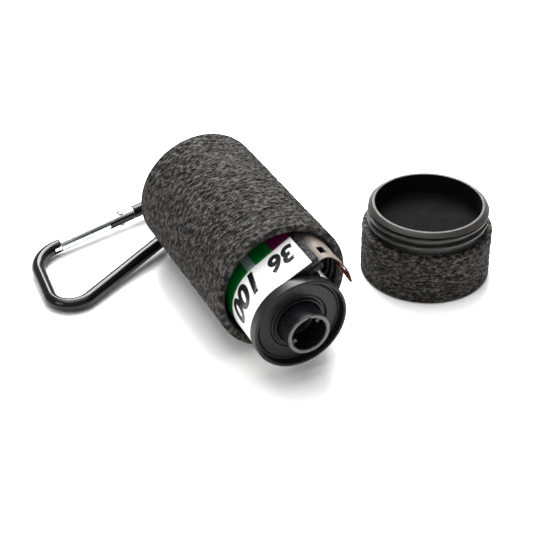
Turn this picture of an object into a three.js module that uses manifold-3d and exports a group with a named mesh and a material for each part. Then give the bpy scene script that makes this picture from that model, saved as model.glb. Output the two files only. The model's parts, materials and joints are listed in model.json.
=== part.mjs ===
// Screw-top pocket canister for one 35 mm film cartridge, lying on its side with the cap off, a
// carabiner clipped through its base loop and the cartridge pulled part of the way out.
// Millimetres, +Z up. While it is built, the canister's axis runs along Y with the mouth at y = 0
// facing -Y, and everything stands on z = 0.
import * as THREE from 'three';
import { mergeVertices } from 'three/addons/utils/BufferGeometryUtils.js';
import Module from 'manifold-3d';

const wasm = await Module();
wasm.setup();

// ---- driving dimensions ----
// cartridge, a standard 35 mm one
const flangeRadius = 12.7;
const cartridgeLength = 43.0;
const hubReach = 4.1;
const rearHubReach = 0.5;
const skirtLength = 3.0;
const tinThickness = 0.4;
const shellInset = 0.8;
const labelThickness = 0.25;
const labelStop = THREE.MathUtils.degToRad(5);
const fitGap = 0.15;
const capFaceDepth = 1.6;
const capPlate = 0.9;
const hubRadius = 5.75;
const hubBore = 4.7;
const hubSocket = 7.0;
const hubClearance = 0.35;
const coreRadius = 4.6;
const spoolClearance = 0.3;
const spoolFlange = 0.8;
const filmWidth = 35.0;

// canister and cap
const flangeClearance = 3.1;
const wallThickness = 2.2;
const canisterBase = 2.5;
const endPlay = 0.9;
const edgeRound = 0.7;
const threadPitch = 2.3;
const threadDepth = 1.2;
const threadClearance = 0.4;
const spigotLength = 7.2;
const spigotWall = 0.8;
const spigotChamfer = 1.1;
const capBarrel = 14.2;
const capRecess = 6.2;
const capCentre = new THREE.Vector2(51.2, 13.0);

// how far the cartridge has come out, and how it lies in the bore
const cartridgeReach = 13.7;
const cartridgeTilt = THREE.MathUtils.degToRad(1.3);
const cartridgeSide = -1.5;
const cartridgeDrop = 2.0;

// base loop
const loopThickness = 3.5;
const loopCentreX = -3.0;
const loopBar = 1.9;
const loopFloor = 1.4;
const loopHoleHeight = 9.4;
const loopRoot = 2.3;
const loopCorner = 1.6;
const loopHoleCorner = 0.8;
const loopLift = 0.3;

// light trap: two lips that leave the shell along one slanted direction
const lipAngle = THREE.MathUtils.degToRad(28);
const lipReach = 11.0;
const slotGap = 4.4;
const feltSetback = 0.9;
const feltProud = 2.0;
const feltThickness = 1.7;

// film leader
const filmThickness = 0.2;
const leaderWidth = 22.0;
const leaderEdgeGap = 0.5;
const leaderClearance = 0.6;
const leaderEnd = THREE.MathUtils.degToRad(8);
const leaderTaper = THREE.MathUtils.degToRad(26);
const perforationPitch = 4.75;
const perforationLength = 1.98;
const perforationHeight = 2.8;
const perforationEdge = 2.0;
const perforationCount = 3;
const firstPerforation = THREE.MathUtils.degToRad(58.8);

// carabiner: a rod bent along a triangle with three rounded corners
const rodRadius = 1.9;
const carabinerHeading = THREE.MathUtils.degToRad(29.2);
const carabinerRise = THREE.MathUtils.degToRad(2.4);
const spineToLoop = 13.0;
const spineStandOff = 4.5;
const spineLift = 0.4;
const spineClearance = 0.6;
const heel = { point: new THREE.Vector2(-40.3, 0), radius: 6.2 };
const shoulder = { point: new THREE.Vector2(-23.17, 25.87), radius: 10.2 };
const narrowEnd = { point: new THREE.Vector2(61.4, 0), radius: 6.64 };
const noseDistance = 8.4;
const gateSpan = 21.3;
const gateGap = 0.3;
const gateEndRadius = 4.1;
const tongueThickness = 1.4;
const tongueWidth = 3.4;
const tonguePastRivet = 4.0;
const forkClearance = 0.3;
const latchThickness = 1.2;
const latchLength = 2.2;
const latchStop = 0.8;
const rivetRadius = 0.6;
const rivetHeadRadius = 1.1;
const rivetHead = 0.3;
const rivetClearance = 0.05;
const plungerRadius = 0.7;
const plungerLength = 3.0;
const springRadius = 0.7;
const springWire = 0.13;
const springLength = 6.5;
const springTurns = 7;
const boreClearance = 0.15;

// ---- sizes that follow ----
const boreRadius = flangeRadius + flangeClearance;
const canisterRadius = boreRadius + wallThickness;
const cartridgeTotal = cartridgeLength + hubReach + rearHubReach;
const canisterLength = canisterBase + cartridgeTotal + endPlay + spigotLength - capRecess;
const spigotBore = boreRadius - threadClearance - spigotWall;
const leaderRadius = boreRadius - leaderClearance;
const shellRadius = flangeRadius - shellInset;
const spoolFlangeRadius = shellRadius - tinThickness - 1.0;
const filmRollRadius = spoolFlangeRadius - 1.5;
// the spine crosses the base loop on a slant, just clear of the canister's bottom edge
const rodAcross = rodRadius / Math.cos(carabinerHeading);
const baseToSpine = spineStandOff + rodAcross;
const spineHalfSpan = rodAcross + (loopThickness / 2) * Math.tan(carabinerHeading);
const loopHoleDepth = baseToSpine - loopRoot + spineHalfSpan + spineClearance;

// facets
const roundSides = 64;
const capSides = 48;
const arcSegments = 40;
const smallSides = 36;
const rowsPerPitch = 5;

// ---- materials ----
const finish = (color, roughness, metalness = 0) =>
  new THREE.MeshStandardMaterial({ color, roughness, metalness });
const printedBlack = finish(0x2b2b2c, 0.72);
const enamelBlack = finish(0x141416, 0.28, 0.4);
const plasticBlack = finish(0x17171a, 0.35);
const paperLabel = finish(0xf2f2ee, 0.45);
const felt = finish(0x3a383d, 0.95);
const filmBase = finish(0xb9a894, 0.4);
const filmWound = finish(0x4a2d27, 0.35);
const anodised = finish(0x1a1a1d, 0.25, 0.9);
const bareAluminium = finish(0xd9dbdc, 0.3, 1);
const steel = finish(0xb8babd, 0.3, 1);

// ---- solids ----
const placed = [];

function asSolid(geometry) {
  const bare = geometry.clone();
  for (const name of Object.keys(bare.attributes)) {
    if (name !== 'position') bare.deleteAttribute(name);
  }
  const merged = mergeVertices(bare, 1e-4);
  const index = merged.index.array;
  const corners = [];
  for (let i = 0; i < index.length; i += 3) {
    const [a, b, c] = [index[i], index[i + 1], index[i + 2]];
    if (a !== b && b !== c && c !== a) corners.push(a, b, c);
  }
  const mesh = new wasm.Mesh({
    numProp: 3,
    vertProperties: new Float32Array(merged.attributes.position.array),
    triVerts: new Uint32Array(corners),
  });
  const solid = new wasm.Manifold(mesh);
  if (solid.volume() > 0) return solid;
  mesh.triVerts = new Uint32Array(corners).reverse();
  return new wasm.Manifold(mesh);
}

function asGeometry(solid) {
  const mesh = solid.getMesh();
  const geometry = new THREE.BufferGeometry();
  geometry.setAttribute('position', new THREE.BufferAttribute(mesh.vertProperties, 3));
  geometry.setIndex(new THREE.BufferAttribute(mesh.triVerts, 1));
  geometry.computeVertexNormals();
  return geometry;
}

function place(parent, name, solid, material) {
  const mesh = new THREE.Mesh(asGeometry(solid), material);
  mesh.name = name;
  parent.add(mesh);
  placed.push(mesh);
}

// A body of rings about Z. Each ring is [radius or radius(angle), height]; both ends close on the axis.
function turned(rings, sides) {
  const positions = [0, 0, rings[0][1]];
  for (const [radius, height] of rings) {
    for (let i = 0; i < sides; i += 1) {
      const angle = (2 * Math.PI * i) / sides;
      const r = typeof radius === 'function' ? radius(angle) : radius;
      positions.push(r * Math.cos(angle), r * Math.sin(angle), height);
    }
  }
  positions.push(0, 0, rings.at(-1)[1]);
  const last = positions.length / 3 - 1;
  const index = [];
  for (let i = 0; i < sides; i += 1) {
    const next = (i + 1) % sides;
    index.push(0, 1 + next, 1 + i);
    for (let ring = 0; ring < rings.length - 1; ring += 1) {
      const low = 1 + ring * sides;
      const high = low + sides;
      index.push(low + i, low + next, high + next, low + i, high + next, high + i);
    }
    index.push(last, last - sides + i, last - sides + next);
  }
  const geometry = new THREE.BufferGeometry();
  geometry.setAttribute('position', new THREE.Float32BufferAttribute(positions, 3));
  geometry.setIndex(index);
  return geometry;
}

// A profile of [radius, reach] points turned about Y; reach counts towards -Y, out of the mouth.
function turnedAlongAxis(profile, sides) {
  const points = profile.map(([radius, reach]) => new THREE.Vector2(radius, -reach));
  return asSolid(new THREE.LatheGeometry(points, sides));
}

// A shape in the cross-section (x across, y up) drawn out from one reach to another.
function alongAxis(shape, fromReach, toReach, curveSegments = roundSides / 4) {
  const depth = toReach - fromReach;
  const geometry = new THREE.ExtrudeGeometry(shape, { depth, bevelEnabled: false, curveSegments });
  geometry.translate(0, 0, fromReach);
  geometry.rotateX(Math.PI / 2);
  return asSolid(geometry);
}

function box(width, depth, height, x, y, z) {
  const geometry = new THREE.BoxGeometry(width, depth, height);
  geometry.translate(x, y, z);
  return asSolid(geometry);
}

// A cylinder between two heights on the Z axis.
function post(radius, from, to, sides = smallSides) {
  const geometry = new THREE.CylinderGeometry(radius, radius, to - from, sides);
  geometry.rotateX(Math.PI / 2);
  geometry.translate(0, 0, (from + to) / 2);
  return asSolid(geometry);
}

// ---- screw thread, shared by the cap's spigot and the canister's mouth ----
const spigotRoot = boreRadius - threadClearance;
const threadStart = 0.7;

// How far the ridge stands out, 0 to 1, at an angle and a height above the shoulder.
function ridge(angle, height) {
  const turn = height / threadPitch - angle / (2 * Math.PI);
  const offset = Math.abs(turn - Math.floor(turn) - 0.5);
  const flank = THREE.MathUtils.clamp((0.32 - offset) / 0.2, 0, 1);
  const runIn = THREE.MathUtils.clamp((height - threadStart) / (threadPitch / 2), 0, 1);
  return flank * runIn;
}

function threadRows(inset, end) {
  const rows = [];
  const step = threadPitch / rowsPerPitch;
  for (let height = threadStart; height < end; height += step) {
    rows.push([(angle) => spigotRoot + inset + threadDepth * ridge(angle, height), height]);
  }
  return rows;
}

// ---- canister: cup with a threaded mouth and a base loop ----
function canisterBody() {
  const floor = canisterLength - canisterBase;
  const mouthRadius = boreRadius + 0.5;
  const threadEnd = spigotLength + 0.8;
  const cup = turned(
    [
      [canisterRadius - edgeRound, canisterLength],
      [canisterRadius, canisterLength - edgeRound],
      [canisterRadius, edgeRound],
      [canisterRadius - edgeRound, 0],
      [mouthRadius, 0],
      [boreRadius, 0.5],
      ...threadRows(threadClearance, threadEnd),
      [boreRadius, threadEnd + 0.4],
      [boreRadius, floor],
    ],
    roundSides,
  );
  cup.rotateX(-Math.PI / 2);
  cup.translate(0, 0, canisterRadius);
  return asSolid(cup).add(baseLoop());
}

const holeFloor = loopLift + loopFloor;
const loopNear = canisterLength + loopRoot;
const loopFar = loopNear + loopHoleDepth + loopBar;

function roundedRect(shape, x0, y0, x1, y1, r) {
  shape.moveTo(x0 + r, y0);
  shape.lineTo(x1 - r, y0);
  shape.absarc(x1 - r, y0 + r, r, -Math.PI / 2, 0);
  shape.lineTo(x1, y1 - r);
  shape.absarc(x1 - r, y1 - r, r, 0, Math.PI / 2);
  shape.lineTo(x0 + r, y1);
  shape.absarc(x0 + r, y1 - r, r, Math.PI / 2, Math.PI);
  shape.lineTo(x0, y0 + r);
  shape.absarc(x0 + r, y0 + r, r, Math.PI, 1.5 * Math.PI);
  return shape;
}

// The loop stands on edge behind the base, near the table, and the carabiner's spine passes through it.
function baseLoop() {
  const top = holeFloor + loopHoleHeight + loopBar;
  const sunk = canisterLength - canisterBase / 2;
  const outline = roundedRect(new THREE.Shape(), sunk, loopLift, loopFar, top, loopCorner);
  const holeTop = holeFloor + loopHoleHeight;
  const hole = roundedRect(
    new THREE.Path(), loopNear, holeFloor, loopFar - loopBar, holeTop, loopHoleCorner,
  );
  outline.holes.push(hole);
  const geometry = new THREE.ExtrudeGeometry(outline, {
    depth: loopThickness, bevelEnabled: false, curveSegments: 5,
  });
  geometry.translate(0, 0, -loopThickness / 2);
  // shape x to world y, shape y to world z, depth to world x
  const turn = new THREE.Matrix4().makeBasis(
    new THREE.Vector3(0, 1, 0), new THREE.Vector3(0, 0, 1), new THREE.Vector3(1, 0, 0),
  );
  geometry.applyMatrix4(turn);
  geometry.translate(loopCentreX, 0, 0);
  return asSolid(geometry);
}

// ---- cap: plain barrel, threaded spigot and a shallow recess ----
function capSolid() {
  const top = capBarrel + spigotLength;
  const rim = spigotRoot;
  const rows = threadRows(0, spigotLength - spigotChamfer).map(([radius, height]) => {
    const limit = rim + spigotLength - height;
    return [(angle) => Math.min(radius(angle), limit), capBarrel + height];
  });
  const rimRows = [0.75, 0.45, 0.2].map((below) => {
    const height = spigotLength - below;
    const radius = (angle) => Math.min(spigotRoot + threadDepth * ridge(angle, height), rim + below);
    return [radius, capBarrel + height];
  });
  return asSolid(turned(
    [
      [canisterRadius - edgeRound, 0],
      [canisterRadius, edgeRound],
      [canisterRadius, capBarrel - edgeRound / 2],
      [canisterRadius - edgeRound / 2, capBarrel],
      [spigotRoot, capBarrel],
      ...rows,
      ...rimRows,
      [rim, top],
      [spigotBore, top],
      [spigotBore, top - capRecess],
    ],
    roundSides,
  ));
}

// ---- film cartridge, in its own group: reach counts from the mouth plane ----
const rearReach = cartridgeReach - cartridgeLength;
const middleReach = cartridgeReach - cartridgeLength / 2;
const sealDepth = capFaceDepth + capPlate + 0.3;
const bodyFront = cartridgeReach - skirtLength - fitGap;
const bodyRear = rearReach + skirtLength + fitGap;
const along = new THREE.Vector2(Math.cos(lipAngle), Math.sin(lipAngle));
const outward = new THREE.Vector2(-Math.sin(lipAngle), Math.cos(lipAngle));
const upperLip = shellRadius - tinThickness;
const lowerLip = upperLip - slotGap - tinThickness;

// A point in the cartridge's cross-section, from distances along the lips and away from the axis.
const lipPoint = (reach, height) =>
  along.clone().multiplyScalar(reach).addScaledVector(outward, height);

// A flat strip in the cross-section that follows the lips.
function lipStrip(fromReach, toReach, bottom, top) {
  return new THREE.Shape([
    lipPoint(fromReach, bottom), lipPoint(toReach, bottom), lipPoint(toReach, top), lipPoint(fromReach, top),
  ]);
}

// The tin's outline: round from the upper lip's root the long way to the lower lip, then both lips.
function tinOutline(radius, thickness, top, bottom, reach) {
  const inner = radius - thickness;
  const shape = new THREE.Shape();
  const root = Math.PI / 2 + lipAngle;
  const topEdge = lipPoint(reach, top);
  shape.moveTo(topEdge.x, topEdge.y);
  shape.absarc(0, 0, radius, root, root + openAngle(radius, bottom), false);
  const lips = [lipPoint(reach, bottom), lipPoint(reach, bottom + thickness)];
  lips.forEach((p) => shape.lineTo(p.x, p.y));
  shape.absarc(0, 0, inner, root + openAngle(inner, bottom + thickness), root, true);
  const under = lipPoint(reach, top - thickness);
  shape.lineTo(under.x, under.y);
  shape.closePath();
  return shape;
}

// The angle from the upper lip's root round to where a circle meets the lower lip's level.
function openAngle(radius, level) {
  return 2 * Math.PI - Math.acos(level / radius);
}

function cartridgeShell() {
  const outline = tinOutline(shellRadius, tinThickness, shellRadius, lowerLip, lipReach);
  const middle = alongAxis(outline, bodyRear, bodyFront, arcSegments);
  const inner = shellRadius - tinThickness;
  const ends = [[bodyFront - 0.6, cartridgeReach - sealDepth], [rearReach + sealDepth, bodyRear + 0.6]];
  return ends.reduce((solid, [from, to]) => solid.add(turnedAlongAxis(
    [[inner, from], [shellRadius, from], [shellRadius, to], [inner, to], [inner, from]], capSides,
  )), middle);
}

// The label wraps the tin from the lower lip's root round to the end of the upper lip.
function cartridgeLabel() {
  const inner = shellRadius + fitGap;
  const outer = inner + labelThickness;
  const root = Math.PI / 2 + lipAngle;
  const stop = root + openAngle(outer, lowerLip) - labelStop;
  const shape = new THREE.Shape();
  const tip = lipPoint(lipReach, outer);
  shape.moveTo(tip.x, tip.y);
  shape.absarc(0, 0, outer, root, stop, false);
  shape.absarc(0, 0, inner, stop, root, true);
  const under = lipPoint(lipReach, inner);
  shape.lineTo(under.x, under.y);
  shape.closePath();
  return alongAxis(shape, bodyRear, bodyFront, arcSegments);
}

// A drawn end cap: rolled rim, sunk face, and a collar round the hub hole. side is 1 at the front.
function endCap(side) {
  const edge = side > 0 ? cartridgeReach : rearReach;
  const hole = hubRadius + hubClearance;
  const inside = flangeRadius - tinThickness;
  const profile = [
    [flangeRadius, skirtLength], [flangeRadius, 0.45], [flangeRadius - 0.3, 0.1],
    [flangeRadius - 0.6, 0], [flangeRadius - 0.95, 0.15], [flangeRadius - 1.1, 0.5],
    [flangeRadius - 1.3, capFaceDepth + 0.3], [flangeRadius - 1.9, capFaceDepth],
    [hole + 1.6, capFaceDepth], [hole + 1.3, capFaceDepth + 0.5], [hole + 0.7, capFaceDepth + 0.5],
    [hole + 0.45, capFaceDepth - 0.3], [hole, capFaceDepth - 0.3], [hole, capFaceDepth + capPlate],
    [inside - 0.9, capFaceDepth + capPlate], [inside, capFaceDepth + capPlate + 0.2], [inside, skirtLength],
    [flangeRadius, skirtLength],
  ];
  return turnedAlongAxis(profile.map(([radius, depth]) => [radius, edge - side * depth]), capSides);
}

// ---- spool: a core with two flanges, the long hub at the front and a flush one at the rear ----
function spoolSolid() {
  const tip = cartridgeReach + hubReach;
  const rear = rearReach - rearHubReach;
  const front = middleReach + filmWidth / 2 + 0.3;
  const back = middleReach - filmWidth / 2 - 0.3;
  const body = turnedAlongAxis([
    [0, tip - hubSocket], [hubBore, tip - hubSocket], [hubBore, tip - 0.2], [hubBore + 0.2, tip],
    [hubRadius - 0.3, tip], [hubRadius, tip - 0.3], [hubRadius, front + spoolFlange],
    [spoolFlangeRadius, front + spoolFlange], [spoolFlangeRadius, front], [coreRadius, front],
    [coreRadius, back], [spoolFlangeRadius, back], [spoolFlangeRadius, back - spoolFlange],
    [hubRadius, back - spoolFlange], [hubRadius, rear], [hubBore, rear], [hubBore, rear + 3], [0, rear + 3],
  ], smallSides);
  const keyReach = tip - 1.6;
  const keys = [-1, 1].map((side) => box(1.5, 3.5, 1.3, side * (hubBore - 0.6), -(keyReach - 1.75), 0));
  return keys.reduce((solid, key) => solid.add(key), body);
}

function filmRoll() {
  const half = filmWidth / 2;
  const inner = coreRadius + 0.3;
  return turnedAlongAxis([
    [inner, middleReach - half], [filmRollRadius, middleReach - half],
    [filmRollRadius, middleReach + half], [inner, middleReach + half], [inner, middleReach - half],
  ], capSides);
}

// ---- light trap felts and the film leader between them ----
const filmLevel = upperLip - feltThickness - fitGap * 2 - filmThickness / 2;

// A felt begins where it clears the spool's flanges and stands out beyond the lips.
function feltStrip(bottom) {
  const clear = spoolFlangeRadius + spoolClearance;
  const start = Math.sqrt(clear ** 2 - bottom ** 2);
  const strip = lipStrip(start, lipReach + feltProud, bottom, bottom + feltThickness);
  return alongAxis(strip, bodyRear + feltSetback, bodyFront - feltSetback);
}

// The leader leaves the lips, meets the canister's bore and curls round inside it.
function leaderPath() {
  const centre = new THREE.Vector2(-cartridgeSide, cartridgeDrop);
  const start = lipPoint(0.3, filmLevel);
  const exit = lipPoint(lipReach + feltProud + 0.3, filmLevel);
  const meet = THREE.MathUtils.degToRad(52);
  const points = [start, exit];
  const onBore = (angle) => new THREE.Vector2(
    centre.x + leaderRadius * Math.cos(angle), centre.y + leaderRadius * Math.sin(angle),
  );
  const joined = onBore(meet);
  const handle = lipPoint(lipReach + feltProud + 2.2, filmLevel);
  const bend = new THREE.QuadraticBezierCurve(exit, handle, joined);
  bend.getPoints(6).slice(1).forEach((p) => points.push(p));
  const steps = 12;
  for (let i = 1; i <= steps; i += 1) points.push(onBore(THREE.MathUtils.lerp(meet, leaderEnd, i / steps)));
  return { points, onBore };
}

function filmLeader() {
  const { points, onBore } = leaderPath();
  const half = filmThickness / 2;
  const sideways = points.map((p, i) => {
    const ahead = points[Math.min(i + 1, points.length - 1)];
    const behind = points[Math.max(i - 1, 0)];
    const direction = ahead.clone().sub(behind).normalize();
    return new THREE.Vector2(-direction.y, direction.x);
  });
  const upper = points.map((p, i) => p.clone().addScaledVector(sideways[i], half));
  const lower = points.map((p, i) => p.clone().addScaledVector(sideways[i], -half));
  const shape = new THREE.Shape([...lower, ...upper.reverse()]);
  const frontReach = middleReach + filmWidth / 2 - leaderEdgeGap;
  let solid = alongAxis(shape, frontReach - leaderWidth, frontReach);
  // the cut end: the inner corner is trimmed away on a slant
  const trimStart = onBore(leaderTaper);
  const wedge = new THREE.Shape([
    new THREE.Vector2(frontReach - 1.5, -flangeRadius),
    new THREE.Vector2(frontReach - 1.5, onBore(leaderEnd).y),
    new THREE.Vector2(frontReach - leaderWidth - 1, trimStart.y),
    new THREE.Vector2(frontReach - leaderWidth - 1, -flangeRadius),
  ]);
  const cutter = new THREE.ExtrudeGeometry(wedge, { depth: 2 * leaderRadius, bevelEnabled: false });
  // shape x to reach (-y), shape y to z, depth to x
  cutter.applyMatrix4(new THREE.Matrix4().makeBasis(
    new THREE.Vector3(0, -1, 0), new THREE.Vector3(0, 0, 1), new THREE.Vector3(-1, 0, 0),
  ));
  cutter.translate(2.5 * leaderRadius, 0, 0);
  solid = solid.subtract(asSolid(cutter));
  const toAngle = perforationPitch / leaderRadius;
  for (let i = 0; i < perforationCount; i += 1) {
    const angle = firstPerforation - i * toAngle;
    const spot = onBore(angle);
    const hole = new THREE.BoxGeometry(2, perforationHeight, perforationLength);
    hole.rotateY(-angle);
    hole.translate(spot.x, -(frontReach - perforationEdge - perforationHeight / 2), spot.y);
    solid = solid.subtract(asSolid(hole));
  }
  return solid;
}

// ---- carabiner, in its own group: x along the spine, y across it, z square to its plane ----
const gateLine = narrowEnd.point.clone().sub(shoulder.point).normalize();
const gateAngle = gateLine.angle();
const nose = shoulder.point.clone().addScaledVector(gateLine, noseDistance);
const rivet = nose.clone().addScaledVector(gateLine, gateSpan);

// Where a corner's arc starts and ends, and its centre.
function roundedCorner(before, corner, after) {
  const toBefore = before.clone().sub(corner.point).normalize();
  const toAfter = after.clone().sub(corner.point).normalize();
  const half = Math.acos(toBefore.dot(toAfter)) / 2;
  const run = corner.radius / Math.tan(half);
  const bisector = toBefore.clone().add(toAfter).normalize();
  return {
    start: corner.point.clone().addScaledVector(toBefore, run),
    end: corner.point.clone().addScaledVector(toAfter, run),
    centre: corner.point.clone().addScaledVector(bisector, corner.radius / Math.sin(half)),
    radius: corner.radius,
  };
}

// The rod's centre line from the nose round to the hinge, as points on straights and arcs.
function rodPoints() {
  const corners = [
    roundedCorner(narrowEnd.point, shoulder, heel.point),
    roundedCorner(shoulder.point, heel, narrowEnd.point),
    roundedCorner(heel.point, narrowEnd, shoulder.point),
  ];
  const points = [nose.clone()];
  for (const corner of corners) {
    const from = corner.start.clone().sub(corner.centre).angle();
    let to = corner.end.clone().sub(corner.centre).angle();
    if (to < from) to += 2 * Math.PI;
    const steps = Math.ceil((to - from) / 0.2);
    for (let i = 0; i <= steps; i += 1) {
      const angle = from + ((to - from) * i) / steps;
      points.push(new THREE.Vector2(Math.cos(angle), Math.sin(angle)).multiplyScalar(corner.radius)
        .add(corner.centre));
    }
  }
  points.push(rivet.clone().addScaledVector(gateLine, gateEndRadius - 1));
  return points;
}

// A round rod swept along flat points: rings stand on the mitre of each bend.
function bentRod(points, radius, sides) {
  const positions = [];
  const count = points.length;
  points.forEach((p, i) => {
    const into = points[Math.max(i, 1)].clone().sub(points[Math.max(i, 1) - 1]).normalize();
    const out = points[Math.min(i + 1, count - 1)].clone().sub(points[Math.min(i, count - 2)]).normalize();
    const side = into.clone().add(out).normalize();
    const across = new THREE.Vector2(-side.y, side.x);
    const stretch = 1 / Math.max(into.dot(side), 0.5);
    for (let k = 0; k < sides; k += 1) {
      const angle = (2 * Math.PI * k) / sides;
      const c = radius * Math.cos(angle) * stretch;
      positions.push(p.x + across.x * c, p.y + across.y * c, radius * Math.sin(angle));
    }
  });
  const first = positions.length / 3;
  positions.push(points[0].x, points[0].y, 0);
  positions.push(points[count - 1].x, points[count - 1].y, 0);
  const index = [];
  for (let k = 0; k < sides; k += 1) {
    const next = (k + 1) % sides;
    index.push(first, k, next);
    for (let i = 0; i < count - 1; i += 1) {
      const a = i * sides;
      const b = a + sides;
      index.push(a + k, b + k, b + next, a + k, b + next, a + next);
    }
    const end = (count - 1) * sides;
    index.push(first + 1, end + next, end + k);
  }
  const geometry = new THREE.BufferGeometry();
  geometry.setAttribute('position', new THREE.Float32BufferAttribute(positions, 3));
  geometry.setIndex(index);
  return asSolid(geometry);
}

// A solid made with its length along +x from the nose face, set down on the gate's line.
function onGateLine(solid) {
  return solid.rotate([0, 0, THREE.MathUtils.radToDeg(gateAngle)]).translate([nose.x, nose.y, 0]);
}

const tongueStart = gateSpan - tonguePastRivet;
const forkSlot = tongueThickness + 2 * forkClearance;
// the plunger stops short of the circle that the tongue's corners sweep as the gate opens
const tongueCorner = Math.hypot(tonguePastRivet, tongueWidth / 2);
const plungerStart = gateSpan - tongueCorner - gateGap - plungerLength;
const springStart = plungerStart - gateGap - springLength;
const gateBore = springRadius + springWire + boreClearance;

function carabinerFrame() {
  const rod = bentRod(rodPoints(), rodRadius, 16);
  const hollow = onGateLine(post(gateEndRadius + gateGap, -3, 3, 48).translate([gateSpan, 0, 0]));
  const shoulderReach = gateSpan + gateEndRadius + 1.2;
  const tongueLength = shoulderReach - tongueStart;
  const tongue = onGateLine(box(tongueLength, tongueWidth, tongueThickness,
    tongueStart + tongueLength / 2, 0, 0));
  const latchSlot = onGateLine(box(2 * (latchLength + gateGap), 2 * rodRadius, latchThickness + 0.6,
    0, -latchStop, 0));
  const rivetHole = onGateLine(post(rivetRadius + rivetClearance, -3, 3, 20).translate([gateSpan, 0, 0]));
  return rod.subtract(hollow).add(tongue).subtract(latchSlot).subtract(rivetHole);
}

// The gate's rod: a thin latch at the nose, a fork with a round end at the hinge, a bore for the spring.
function carabinerGate() {
  const end = gateSpan + gateEndRadius;
  const length = end - gateGap;
  const rodGeometry = new THREE.CylinderGeometry(rodRadius, rodRadius, length, 20);
  rodGeometry.rotateZ(Math.PI / 2);
  rodGeometry.translate(gateGap + length / 2, 0, 0);
  const roundEnd = post(gateEndRadius, -3, 3, 48).translate([gateSpan, 0, 0]);
  const stem = box(gateSpan, 2 * rodRadius + 1, 2 * rodRadius + 1, gateSpan / 2, 0, 0);
  let gate = asSolid(rodGeometry).intersect(roundEnd.add(stem));
  const latchWidth = 2 * rodRadius - 2 * latchStop;
  gate = gate.add(box(latchLength + 1, latchWidth - gateGap, latchThickness,
    (1 - latchLength) / 2 + gateGap, -latchStop / 2 - gateGap / 2, 0));
  const slotLength = end - tongueStart + gateGap * 2;
  gate = gate.subtract(box(slotLength + 1, 2 * rodRadius + 1, forkSlot, end - slotLength / 2 + 0.5, 0, 0));
  const boreEnd = springStart - gateGap;
  const boreGeometry = new THREE.CylinderGeometry(gateBore, gateBore, tongueStart - boreEnd, 16);
  boreGeometry.rotateZ(Math.PI / 2);
  boreGeometry.translate((tongueStart + boreEnd) / 2, 0, 0);
  gate = gate.subtract(asSolid(boreGeometry));
  return onGateLine(gate.subtract(post(rivetRadius + rivetClearance, -3, 3, 20).translate([gateSpan, 0, 0])));
}

function gateRivet() {
  const face = rodRadius + 0.05;
  const shank = post(rivetRadius, -face - 0.1, face + 0.1, 20);
  const heads = [1, -1].map((side) => {
    const head = turned([
      [rivetHeadRadius, 0], [rivetHeadRadius, rivetHead * 0.4], [rivetHeadRadius * 0.6, rivetHead],
    ], 20);
    if (side < 0) head.rotateX(Math.PI);
    head.translate(0, 0, side * face);
    return asSolid(head);
  });
  return onGateLine(shank.add(heads[0]).add(heads[1]).translate([gateSpan, 0, 0]));
}

function gatePlunger() {
  const geometry = new THREE.CylinderGeometry(plungerRadius, plungerRadius, plungerLength, 16);
  geometry.rotateZ(Math.PI / 2);
  geometry.translate(plungerStart + plungerLength / 2, 0, 0);
  return onGateLine(asSolid(geometry));
}

class Helix extends THREE.Curve {
  getPoint(t, target = new THREE.Vector3()) {
    const angle = 2 * Math.PI * springTurns * t;
    const run = springWire + (springLength - 2 * springWire) * t;
    return target.set(run, springRadius * Math.cos(angle), springRadius * Math.sin(angle));
  }
}

function gateSpring() {
  const section = new THREE.Shape();
  section.absarc(0, 0, springWire, 0, 2 * Math.PI);
  const geometry = new THREE.ExtrudeGeometry(section, {
    steps: springTurns * 9, extrudePath: new Helix(), curveSegments: 3, bevelEnabled: false,
  });
  geometry.translate(springStart, 0, 0);
  return onGateLine(asSolid(geometry));
}

// ---- assembly ----
const canisterCase = new THREE.Group();

place(canisterCase, 'canister_body', canisterBody(), printedBlack);

const cap = new THREE.Group();
cap.position.set(capCentre.x, capCentre.y, 0);
canisterCase.add(cap);
place(cap, 'screw_cap', capSolid(), printedBlack);

const cartridge = new THREE.Group();
cartridge.position.set(cartridgeSide, 0, canisterRadius - cartridgeDrop);
cartridge.rotation.x = cartridgeTilt;
canisterCase.add(cartridge);
place(cartridge, 'cartridge_shell', cartridgeShell(), enamelBlack);
place(cartridge, 'cartridge_label', cartridgeLabel(), paperLabel);
place(cartridge, 'end_cap_front', endCap(1), enamelBlack);
place(cartridge, 'end_cap_rear', endCap(-1), enamelBlack);
place(cartridge, 'spool', spoolSolid(), plasticBlack);
place(cartridge, 'film_roll', filmRoll(), filmWound);
place(cartridge, 'light_trap_felt_upper', feltStrip(upperLip - fitGap - feltThickness), felt);
place(cartridge, 'light_trap_felt_lower', feltStrip(lowerLip + tinThickness + fitGap), felt);
place(cartridge, 'film_leader', filmLeader(), filmBase);

const carabiner = new THREE.Group();
const spine = new THREE.Vector3(
  Math.cos(carabinerHeading) * Math.cos(carabinerRise),
  Math.sin(carabinerHeading) * Math.cos(carabinerRise),
  Math.sin(carabinerRise),
);
const acrossSpine = new THREE.Vector3(-Math.sin(carabinerHeading), Math.cos(carabinerHeading), 0);
const square = spine.clone().cross(acrossSpine);
carabiner.quaternion.setFromRotationMatrix(new THREE.Matrix4().makeBasis(spine, acrossSpine, square));
const inLoop = new THREE.Vector3(
  loopCentreX,
  canisterLength + baseToSpine,
  holeFloor + rodRadius + spineLift,
);
carabiner.position.copy(inLoop).addScaledVector(spine, -spineToLoop);
canisterCase.add(carabiner);
place(carabiner, 'carabiner_frame', carabinerFrame(), anodised);
place(carabiner, 'carabiner_gate', carabinerGate(), bareAluminium);
place(carabiner, 'gate_rivet', gateRivet(), steel);
place(carabiner, 'gate_plunger', gatePlunger(), steel);
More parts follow.
